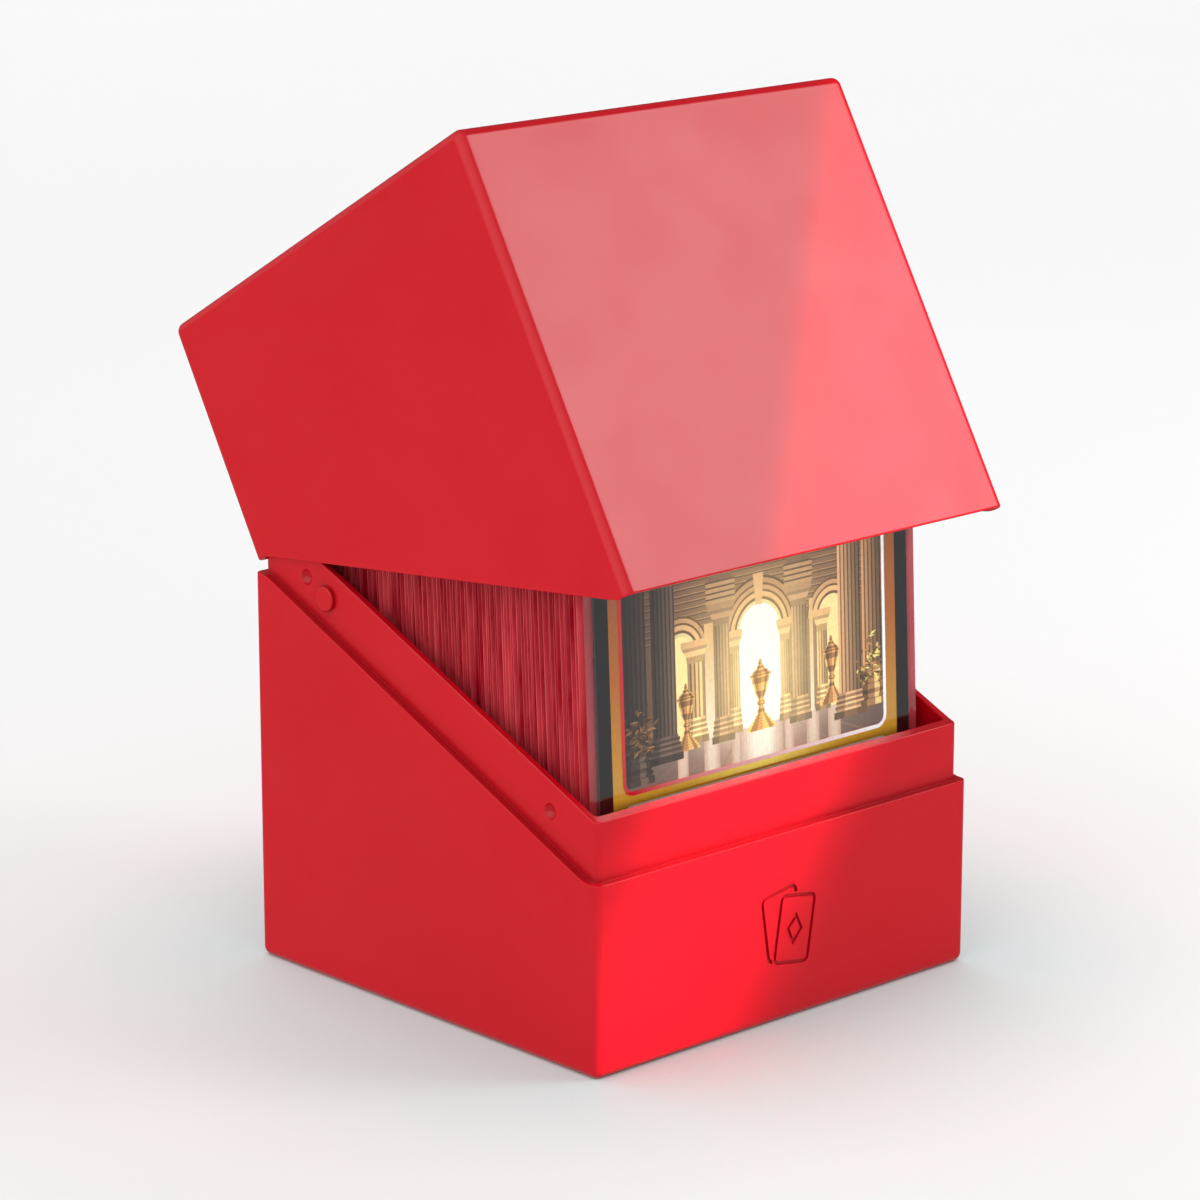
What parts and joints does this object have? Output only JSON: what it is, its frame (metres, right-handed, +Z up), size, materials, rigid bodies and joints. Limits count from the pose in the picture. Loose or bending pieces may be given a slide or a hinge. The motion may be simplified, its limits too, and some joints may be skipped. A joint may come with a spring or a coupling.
{
  "type": "card deck box",
  "caption": "Upright plastic card box split on a slope, with a standing collar, a lid that tips back over the rear edge, and a deck of sleeved cards inside.",
  "frame": {"origin": "centre of the flat bottom face of the base", "axes": "+Z up, +Y towards the back, where the lid tips over, +X to the right seen from the front"},
  "size_m": [0.076, 0.099, 0.1313],
  "materials": {
    "red_plastic": "satin moulded plastic",
    "sleeve_film": "clear glossy front film on a red back film",
    "card_face": "coated printed card",
    "sleeve_stack": "edges of red film sleeves"
  },
  "bodies": {
    "base": {"base_shell": "red_plastic", "collar_liner": "red_plastic", "front_sleeve": "sleeve_film", "front_card": "card_face", "sleeved_cards_01": "sleeve_stack", "sleeved_cards_02": "sleeve_stack", "sleeved_cards_03": "sleeve_stack", "sleeved_cards_04": "sleeve_stack", "sleeved_cards_05": "sleeve_stack", "sleeved_cards_06": "sleeve_stack", "sleeved_cards_07": "sleeve_stack", "sleeved_cards_08": "sleeve_stack", "sleeved_cards_09": "sleeve_stack", "sleeved_cards_10": "sleeve_stack", "sleeved_cards_11": "sleeve_stack", "sleeved_cards_12": "sleeve_stack", "sleeved_cards_13": "sleeve_stack", "sleeved_cards_14": "sleeve_stack", "sleeved_cards_15": "sleeve_stack", "sleeved_cards_16": "sleeve_stack", "sleeved_cards_17": "sleeve_stack", "sleeved_cards_18": "sleeve_stack"},
    "lid": {"lid_shell": "red_plastic"}
  },
  "joints": [
    {"name": "lid_tilt", "type": "hinge", "parent": "base", "child": "lid", "pos_m": [0, 0.0398, 0.0618], "axis": [-1, 0, 0], "range_deg": [-30, 60]}
  ]
}
